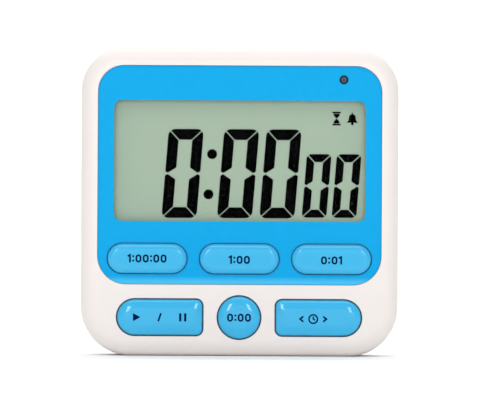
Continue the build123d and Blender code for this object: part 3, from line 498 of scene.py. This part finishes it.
# ---------------------------------------------------------------- the room
@dataclass
class Studio:
    """The pale sweep, the soft surroundings, the softboxes and the camera."""

    eye: Point = (2.51 * MM, 37.86 * MM)
    distance: float = 1.19
    frame_width: float = 120.86 * MM
    roll: float = -0.3
    world_light: float = 0.58
    box_light: tuple[float, float] = (9.5, 8.3)
    box_width: float = 0.13
    box_height: float = 0.27
    box_distance: float = 0.9
    box_azimuth: float = 19.0
    box_elevation: float = 17.0
    wall_light: float = 5.0
    wall_distance: float = 1.7
    wall_lamp_place: tuple[float, float, float] = (0.0, 0.55, 1.5)
    wall_lamp_size: tuple[float, float] = (2.4, 0.6)
    top_light: float = 2.0
    top_place: tuple[float, float, float] = (0.0, -0.55, 0.95)
    top_size: tuple[float, float] = (0.9, 0.5)
    fill_light: float = 0.75
    fill_place: tuple[float, float, float] = (0.0, -0.9, 0.14)
    fill_size: tuple[float, float] = (1.2, 0.25)
    sweep_half: float = 3.0
    sweep_front: float = -3.0
    sweep_bend: float = 0.6
    sweep_top: float = 2.4
    sweep_steps: int = 24
    sensor: float = 36.0
    far_clip: float = 20.0
    front: float = field(init=False)

    def __post_init__(self) -> None:
        """Takes the front of the object from the CAD box."""
        self.front = CAD_BOX[0].y

    def build(self) -> None:
        """Makes the sweep, the surroundings, the lights and the camera."""
        self._sweep()
        self._world()
        for side, brightness in zip((-1, 1), self.box_light):
            turn = math.radians(self.box_azimuth * side)
            rise = math.radians(self.box_elevation)
            aim = Vector((0.0, self.front, self.eye[1]))
            away = Vector(
                (math.sin(turn) * math.cos(rise), -math.cos(turn) * math.cos(rise), math.sin(rise))
            )
            name = f"softbox_{'left' if side < 0 else 'right'}"
            size = (self.box_width, self.box_height)
            self._panel_light(name, aim + away * self.box_distance, away, size, brightness)
        above = Vector(self.top_place)
        self._panel_light("top_light", above, above.normalized(), self.top_size, self.top_light)
        low, ahead = Vector(self.fill_place), Vector((0, -1, 0))
        self._panel_light("fill_light", low, ahead, self.fill_size, self.fill_light)
        behind = Vector(self.wall_lamp_place)
        away = (behind - Vector((0.0, self.wall_distance, 0.0))).normalized()
        self._panel_light("wall_light", behind, away, self.wall_lamp_size, self.wall_light)
        self._camera()

    def _sweep(self) -> None:
        """A plain pale floor that curves up into a wall behind the object."""
        mesh = bmesh.new()
        half, bend = self.sweep_half, self.sweep_bend
        floor, wall = CAD_BOX[0].z, self.wall_distance
        section = [(self.sweep_front, floor), (wall - bend, floor)]
        section += arc((wall - bend, floor + bend), bend, -90, 90, self.sweep_steps)[1:]
        section.append((wall, self.sweep_top))
        rows = [[mesh.verts.new((x, y, z)) for y, z in section] for x in (-half, half)]
        for here in range(len(section) - 1):
            mesh.faces.new((rows[0][here], rows[1][here], rows[1][here + 1], rows[0][here + 1]))
        data = bpy.data.meshes.new("sweep")
        mesh.to_mesh(data)
        mesh.free()
        for face in data.polygons:
            face.use_smooth = True
        data.materials.append(SWEEP_PAPER.material())
        sweep = bpy.data.objects.new("sweep", data)
        bpy.context.scene.collection.objects.link(sweep)

    def _world(self) -> None:
        """Even white surroundings, shown with their plain colours."""
        world = bpy.data.worlds.new("white_room")
        world.use_nodes = True
        glow = world.node_tree.nodes["Background"]
        glow.inputs["Color"].default_value = (1.0, 1.0, 1.0, 1.0)
        glow.inputs["Strength"].default_value = self.world_light
        bpy.context.scene.world = world
        bpy.context.scene.view_settings.view_transform = "Standard"

    @staticmethod
    def _panel_light(
        name: str, place: Vector, away: Vector, size: tuple[float, float], brightness: float
    ) -> None:
        """One rectangular soft light.

        Args:
            name: the light's name.
            place: its middle.
            away: unit vector from what it lights to the light.
            size: its width and height.
            brightness: how bright its surface looks, where white paper in full light is 1.
        """
        light = bpy.data.lights.new(name, "AREA")
        light.shape = "RECTANGLE"
        light.size, light.size_y = size
        light.energy = brightness * math.pi * size[0] * size[1]
        lamp = bpy.data.objects.new(name, light)
        lamp.location = place
        lamp.rotation_mode = "QUATERNION"
        lamp.rotation_quaternion = (-away).to_track_quat("-Z", "Y")
        bpy.context.scene.collection.objects.link(lamp)

    def _camera(self) -> None:
        """A long lens that looks straight at the face."""
        lens = bpy.data.cameras.new("camera")
        lens.sensor_width = self.sensor
        lens.lens = self.sensor * self.distance / self.frame_width
        lens.clip_end = self.far_clip
        eye = bpy.data.objects.new("camera", lens)
        eye.location = (self.eye[0], self.front - self.distance, self.eye[1])
        eye.rotation_euler = (math.radians(90), math.radians(self.roll), 0)
        bpy.context.scene.collection.objects.link(eye)
        bpy.context.scene.camera = eye


# ---------------------------------------------------------------- display
# Half of the sand glass and the rim of the bell, drawn about the sign's middle at a size of 1.
GLASS_BULB = [
    (-0.45, 0.72), (0.45, 0.72), (0.42, 0.45), (0.07, 0.04), (-0.07, 0.04), (-0.42, 0.45),
]
GLASS_PLATE = (0.62, 0.12, 0.04)
GLASS_PLATE_HEIGHT = 0.9
BELL_LEFT = [(-0.85, -0.6), (-0.55, -0.25)]
BELL_RIGHT = [(0.55, -0.25), (0.85, -0.6)]


@dataclass
class Digit:
    """A seven-segment zero with mitred corners, leaning to the right."""

    width: float
    height: float
    bar: float
    gap: float = 0.24 * MM
    corner: float = 1.7 * MM
    lean: float = 4.5
    tip: float = 0.15 * MM
    arc_steps: int = 6

    def segments(self) -> list[Outline]:
        """The outlines of its six lit segments about its lower left corner.

        Returns:
            Top, bottom, and the upper and lower segment of each side.
        """
        off = self.gap / math.sqrt(2)
        split = math.degrees(math.asin(off / (self.corner * math.sqrt(2))))
        w, h, t, r = self.width, self.height, self.bar, self.corner
        left_top = arc((r, h - r), r, 135 - split, -(45 - split), self.arc_steps)
        right_top = [(w - x, z) for x, z in reversed(left_top)]
        top = left_top + right_top + [(w - t - off, h - t), (t + off, h - t)]
        side_arc = arc((r, h - r), r, 180, -(45 - split), self.arc_steps)
        foot = h / 2 + self.tip
        side = [
            (0.0, foot + 0.15 * t),
            *side_arc,
            (t, h - t - off),
            (t, foot + 0.5 * t),
            (0.25 * t, foot),
        ]
        low = [[(x, h - z) for x, z in shape] for shape in (top, side)]
        right = [[(w - x, z) for x, z in shape] for shape in (side, low[1])]
        return [[self._leaned(p) for p in s] for s in (top, side, *low, *right)]

    def _leaned(self, spot: Point) -> Point:
        """A point moved by the digit's lean."""
        return (spot[0] + spot[1] * math.tan(math.radians(self.lean)), spot[1])


@dataclass
class Display:
    """The liquid crystal cell: digits, colon, small signs and the layers round them."""

    big: Digit = field(default_factory=lambda: Digit(8.5 * MM, 21.55 * MM, 2.6 * MM))
    small: Digit = field(
        default_factory=lambda: Digit(5.98 * MM, 15.4 * MM, 1.93 * MM, corner=1.2 * MM)
    )
    big_left: tuple[float, ...] = (-18.95 * MM, -5.5 * MM, 4.78 * MM)
    small_left: tuple[float, ...] = (15.05 * MM, 22.3 * MM)
    big_low: float = -13.85 * MM
    small_low: float = -13.63 * MM
    colon: tuple[Point, ...] = ((-6.73 * MM, 1.64 * MM), (-7.57 * MM, -8.12 * MM))
    dot: float = 1.2 * MM
    sign_at: tuple[Point, ...] = ((23.4 * MM, 10.4 * MM), (27.2 * MM, 10.4 * MM))
    sign_size: float = 1.62 * MM
    film_gap: float = 0.01 * MM
    ink_thickness: float = 0.05 * MM
    dot_steps: int = 31
    front: float = field(init=False)
    back: float = field(init=False)
    centre: Point = field(init=False)

    def __post_init__(self) -> None:
        """Takes the places of the layers from the CAD boxes."""
        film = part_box("lcd_front_polariser")
        self.back = film[0].y - self.film_gap
        self.front = self.back - self.ink_thickness
        self.centre = ((film[0].x + film[1].x) / 2, (film[0].z + film[1].z) / 2)

    def build(self) -> None:
        """Makes the digits and signs, and dresses the layers of the display."""
        self._segments()
        self._dots()
        self._signs()
        for node, finish in (
            ("display_lens", CLEAR_LENS),
            ("lens_tape", FOAM_TAPE),
            ("lcd_front_polariser", POLARISER),
            ("lcd_front_glass", DISPLAY_GLASS),
            ("lcd_rear_glass", DISPLAY_GLASS),
            ("lcd_reflector", DISPLAY_BACKING),
            ("lcd_clamp", INNER_PLASTIC),
            ("zebra_strip", ZEBRA),
        ):
            dress(node, finish)

    def _plate(self, mesh: bmesh.types.BMesh, outline: Outline) -> None:
        """Adds one thin lit sign, given about the display's centre."""
        slab(mesh, shift(outline, self.centre), self.front, self.back)

    def _segments(self) -> None:
        """Adds the digits' segments."""
        mesh = bmesh.new()
        for digit, lefts, low in (
            (self.big, self.big_left, self.big_low),
            (self.small, self.small_left, self.small_low),
        ):
            for left in lefts:
                for outline in digit.segments():
                    self._plate(mesh, shift(outline, (left, low)))
        finish_piece("display_digits", mesh, SEGMENT_BLACK, "case")

    def _dots(self) -> None:
        """Adds the two dots of the colon."""
        mesh = bmesh.new()
        for spot in self.colon:
            sweep = 360 * self.dot_steps / (self.dot_steps + 1)
            self._plate(mesh, arc(spot, self.dot, 0, sweep, self.dot_steps))
        finish_piece("display_colon", mesh, SEGMENT_BLACK, "case")

    def _signs(self) -> None:
        """Adds a small hourglass and a small bell at the upper right."""
        mesh = bmesh.new()
        size = self.sign_size
        glass, bell = self.sign_at
        half_x, half_z, corner = (part * size for part in GLASS_PLATE)
        bar = rounded_outline(half_x, half_z, (corner, corner), 3)
        for end in (-1, 1):
            place = (glass[0], glass[1] + end * GLASS_PLATE_HEIGHT * size)
            self._plate(mesh, shift(bar, place))
            bulb = [(x, end * z) for x, z in GLASS_BULB]
            self._plate(mesh, shift(bulb, glass, size))
        dome = arc((0, 0.1), 0.55, 150, -120, 10)
        profile = [*BELL_LEFT, *dome, *BELL_RIGHT]
        self._plate(mesh, shift(list(reversed(profile)), bell, size))
        self._plate(mesh, shift(arc((0, -0.78), 0.2, 0, 350, 12), bell, size))
        self._plate(mesh, shift(arc((0, 0.78), 0.13, 0, 350, 10), bell, size))
        finish_piece("display_signs", mesh, SEGMENT_BLACK, "case")


# ---------------------------------------------------------------- keys
UPPER_ROLL = 1.6 * MM
LOWER_ROLL = 3.0 * MM


class Legend(Enum):
    """Sign printed on a key."""

    HOURS = "1:00:00"
    MINUTES = "1:00"
    SECONDS = "0:01"
    RUN = "run"
    ZERO = "0:00"
    CLOCK = "clock"


@dataclass
class KeyCap:
    """A glossy key cap with a flat crown that rolls over to its edge."""

    name: str
    legend: Legend
    roll: float
    square_side: int = 0
    print_shift: Point = (0.0, 0.0)
    crown_drop: float = 0.8 * MM
    shoulder: float = 0.4 * MM
    flange: float = 0.8 * MM
    flange_thickness: float = 0.8 * MM
    print_rise: float = 0.03 * MM
    square_corner: float = 1.5 * MM
    crown_inset: float = 0.985
    crown_middle: float = 0.8
    crown_steps: int = 3
    roll_steps: int = 12
    shoulder_steps: int = 6
    corner_steps: int = 12
    merge: float = 0.0005 * MM
    sharp_angle: float = 40.0
    centre: Point = field(init=False)
    half: Point = field(init=False)
    crest: float = field(init=False)
    base: float = field(init=False)

    def __post_init__(self) -> None:
        """Takes the key's place from its CAD box."""
        low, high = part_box(f"{self.name}_button")
        self.centre = ((low.x + high.x) / 2, (low.z + high.z) / 2)
        self.half = ((high.x - low.x) / 2 - self.flange, (high.z - low.z) / 2 - self.flange)
        self.crest, self.base = low.y, high.y

    def build(self) -> None:
        """Makes the cap and its legend, and dresses the contact pill."""
        cap = self._cap()
        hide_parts(f"{self.name}_button")
        self._print()
        dress(f"{self.name}_contact_pill", CARBON)

    def _profile(self) -> list[Point]:
        """The section from the crown to the back, as inset and depth.

        Returns:
            Points from the middle of the crown outwards and rearwards.
        """
        half, drop = self.half[1], self.crown_drop
        bend = (self.roll**2 + drop**2) / (2 * drop)
        top = self.crest + self.print_rise
        inner, middle = half * self.crown_inset, half * self.crown_middle
        points = [(inner, top), (middle, top)]
        for step in reversed(range(self.crown_steps)):
            points.append((self.roll + (middle - self.roll) * step / self.crown_steps, top))
        edge = self.shoulder
        for step in range(1, self.roll_steps + 1):
            out = (self.roll - edge) * step / self.roll_steps
            points.append((self.roll - out, top + bend - math.sqrt(bend**2 - out**2)))
        last = points[-1]
        tilt = math.asin((self.roll - edge) / bend)
        radius = edge / (1 - math.sin(tilt))
        for step in range(1, self.shoulder_steps + 1):
            angle = tilt + (math.pi / 2 - tilt) * step / self.shoulder_steps
            across = radius * (math.sin(angle) - math.sin(tilt))
            down = radius * (math.cos(tilt) - math.cos(angle))
            points.append((last[0] - across, last[1] + down))
        ledge = self.base - self.flange_thickness
        points += [(0.0, ledge), (-self.flange, ledge), (-self.flange, self.base)]
        return points + [(inner, self.base)]

    def _cap(self) -> bpy.types.Object:
        """Makes the cap from offset rings of its outline.

        Returns:
            The cap, riding on the key's body.
        """
        mesh = bmesh.new()
        rings = []
        for inset, depth in self._profile():
            ends = tuple(
                self.square_corner - min(inset, 0.0)
                if side == self.square_side
                else self.half[1] - inset
                for side in (-1, 1)
            )
            across, up = self.half[0] - inset, self.half[1] - inset
            outline = shift(rounded_outline(across, up, ends, self.corner_steps), self.centre)
            rings.append([mesh.verts.new((x, depth, z)) for x, z in outline])
        for near, far in zip(rings, rings[1:]):
            for here in range(len(near)):
                there = (here + 1) % len(near)
                mesh.faces.new((near[here], near[there], far[there], far[here]))
        mesh.faces.new(rings[0])
        mesh.faces.new(rings[-1])
        bmesh.ops.remove_doubles(mesh, verts=mesh.verts, dist=self.merge)
        cap = finish_piece(f"{self.name}_cap", mesh, KEY_BLUE, f"{self.name}_key", True)
        cap.data.set_sharp_from_angle(angle=math.radians(self.sharp_angle))
        return cap

    def _print(self) -> None:
        """Prints the legend on the crown."""
        mesh = bmesh.new()
        pen = Pen(mesh, self.crest, self.crest + 2 * self.print_rise)
        across, up = self.print_shift
        pen.write(self.legend, (self.centre[0] + across, self.centre[1] + up))
        finish_piece(
            f"{self.name}_legend", mesh, LEGEND_INK, f"{self.name}_key"
        )


@dataclass
class Pen:
    """Draws the keys' signs as thin raised bands of ink."""

    mesh: bmesh.types.BMesh
    front: float
    back: float
    height: float = 1.95 * MM
    line: float = 0.42 * MM
    space: float = 0.34 * MM
    run_reach: float = 5.6 * MM
    bar_reach: float = 0.6 * MM
    arrow_reach: float = 2.4 * MM
    clock_scale: float = 1.35
    clock_rim: float = 0.36 * MM
    clock_hand: float = 0.32 * MM
    clock_steps: int = 35
    widths: dict[str, float] = field(
        default_factory=lambda: {"0": 1.42 * MM, "1": 0.78 * MM, ":": 0.45 * MM}
    )

    def write(self, legend: Legend, centre: Point) -> None:
        """Draws one sign.

        Args:
            legend: the sign.
            centre: the middle of the sign.
        """
        if legend is Legend.RUN:
            self._run(centre)
        elif legend is Legend.CLOCK:
            self._clock(centre)
        else:
            self._figures(legend.value, centre)

    def _figures(self, text: str, centre: Point) -> None:
        """Draws figures and colons side by side.

        Args:
            text: the figures.
            centre: the middle of the row.
        """
        total = sum(self.widths[sign] + self.space for sign in text) - self.space
        left = centre[0] - total / 2
        for sign in text:
            width = self.widths[sign]
            spot = (left + width / 2, centre[1])
            if sign == "0":
                self._zero(spot, width)
            elif sign == "1":
                self._one(spot, width)
            else:
                self._colon(spot, width)
            left += width + self.space

    def _zero(self, spot: Point, width: float) -> None:
        """Draws a zero as a narrow ring.

        Args:
            spot: its middle.
            width: its width.
        """
        half_x, half_z = (width - self.line) / 2, (self.height - self.line) / 2
        ring = rounded_outline(half_x, half_z, (half_x, half_x), 8)
        kept = [here for step, here in enumerate(ring) if math.dist(here, ring[step - 1]) > 1e-6]
        band(self.mesh, shift(kept, spot), self.line, self.front, self.back, True)

    def _one(self, spot: Point, width: float) -> None:
        """Draws a one as an upright stroke with a flag.

        Args:
            spot: its middle.
            width: its width.
        """
        top, stem = self.height / 2, (width - self.line) / 2
        path = [(-width / 2, top * 0.55), (stem, top * 0.86), (stem, -top)]
        band(self.mesh, shift(path, spot), self.line, self.front, self.back)

    def _colon(self, spot: Point, width: float) -> None:
        """Draws a colon as two square dots.

        Args:
            spot: its middle.
            width: the width of a dot.
        """
        dot = rounded_outline(width / 2, width / 2, (0.08 * MM, 0.08 * MM), 3)
        for side in (-1, 1):
            place = (spot[0], spot[1] + side * self.height * 0.27)
            slab(self.mesh, shift(dot, place), self.front, self.back)

    def _run(self, centre: Point) -> None:
        """Draws a triangle for start, a slash, and two bars for stop.

        Args:
            centre: the middle of the row.
        """
        x, z = centre
        half = self.height / 2
        triangle = [(-0.85, -1.0), (1.0, 0.0), (-0.85, 1.0)]
        slab(self.mesh, shift(triangle, (x - self.run_reach, z), half), self.front, self.back)
        slash = shift([(-0.35, -1.0), (0.35, 1.0)], centre, half)
        band(self.mesh, slash, self.line, self.front, self.back)
        bar = rounded_outline(0.28, 1.0, (0.06, 0.06), 3)
        for side in (-1, 1):
            place = (x + self.run_reach + side * self.bar_reach, z)
            slab(self.mesh, shift(bar, place, half), self.front, self.back)

    def _clock(self, centre: Point) -> None:
        """Draws a round clock face with two hands, between two arrows.

        Args:
            centre: the middle of the face.
        """
        x, z = centre
        size = (self.height - self.line) / 2 * self.clock_scale
        sweep = 360 * self.clock_steps / (self.clock_steps + 1)
        circle = shift(arc((0.0, 0.0), 1.0, 0, sweep, self.clock_steps), centre, size)
        band(self.mesh, circle, self.clock_rim, self.front, self.back, True)
        hands = [(0.0, 0.62), (0.0, 0.0), (0.45, -0.25)]
        band(self.mesh, shift(hands, centre, size), self.clock_hand, self.front, self.back)
        for side in (-1, 1):
            arrow = [(0.0, 0.62), (side * 0.75, 0.0), (0.0, -0.62)]
            path = shift(arrow, (x + side * self.arrow_reach, z), size)
            band(self.mesh, path, self.line, self.front, self.back)


# ---------------------------------------------------------------- the rest
@dataclass
class Dressing:
    """Finishes of the CAD nodes that keep their own shape."""

    finishes: dict[str, Finish] = field(
        default_factory=lambda: {
            "front_shell": WHITE_FRAME,
            "rear_cover": WHITE_REAR,
            "battery_door": WHITE_REAR,
            "kickstand": WHITE_REAR,
            "face_panel": PANEL_BLUE,
            "key_mat": SILICONE,
            "circuit_board": BOARD_MASK,
            "chip_cover": EPOXY,
            "quartz_crystal": NICKEL,
            "board_resistors": COMPONENT_BLACK,
            "board_capacitors": COMPONENT_TAN,
            "board_screws": STEEL,
            "case_screws": STEEL,
            "alarm_lamp": LAMP_LENS,
            "lamp_leads": NICKEL,
            "lamp_wires": GREY_WIRE,
            "battery_can": STEEL,
            "battery_jacket": CELL_JACKET,
            "battery_spring": STEEL,
            "positive_contact": NICKEL,
            "negative_contact": NICKEL,
            "positive_wire": RED_WIRE,
            "negative_wire": BLACK_WIRE,
            "magnets": NICKEL,
            "piezo_plate": BRASS,
            "piezo_ceramic": PIEZO_WHITE,
            "piezo_wires": BLACK_WIRE,
            "switch_housing": STEEL,
            "switch_lever": COMPONENT_BLACK,
            "sound_slider": SLIDER_GREY,
        }
    )

    def build(self) -> None:
        """Gives every node its finish."""
        for node, finish in self.finishes.items():
            dress(node, finish)


def main() -> None:
    """Builds the scene in order and reports each part of it."""
    logging.basicConfig(level=logging.INFO, format="%(name)s: %(message)s")
    Studio().build()
    LOG.info("studio built")
    Dressing().build()
    LOG.info("carried-over nodes dressed")
    Display().build()
    LOG.info("display built")
    for cap in (
        KeyCap("hour", Legend.HOURS, UPPER_ROLL),
        KeyCap("minute", Legend.MINUTES, UPPER_ROLL, print_shift=(0.0, -0.22 * MM)),
        KeyCap("second", Legend.SECONDS, UPPER_ROLL, print_shift=(0.0, -0.25 * MM)),
        KeyCap("start_stop", Legend.RUN, LOWER_ROLL, 1),
        KeyCap("clear", Legend.ZERO, LOWER_ROLL),
        KeyCap("mode", Legend.CLOCK, LOWER_ROLL, -1, (-1.25 * MM, -0.25 * MM)),
    ):
        cap.build()
        LOG.info("%s key built", cap.name)


if __name__ == "__main__":
    main()
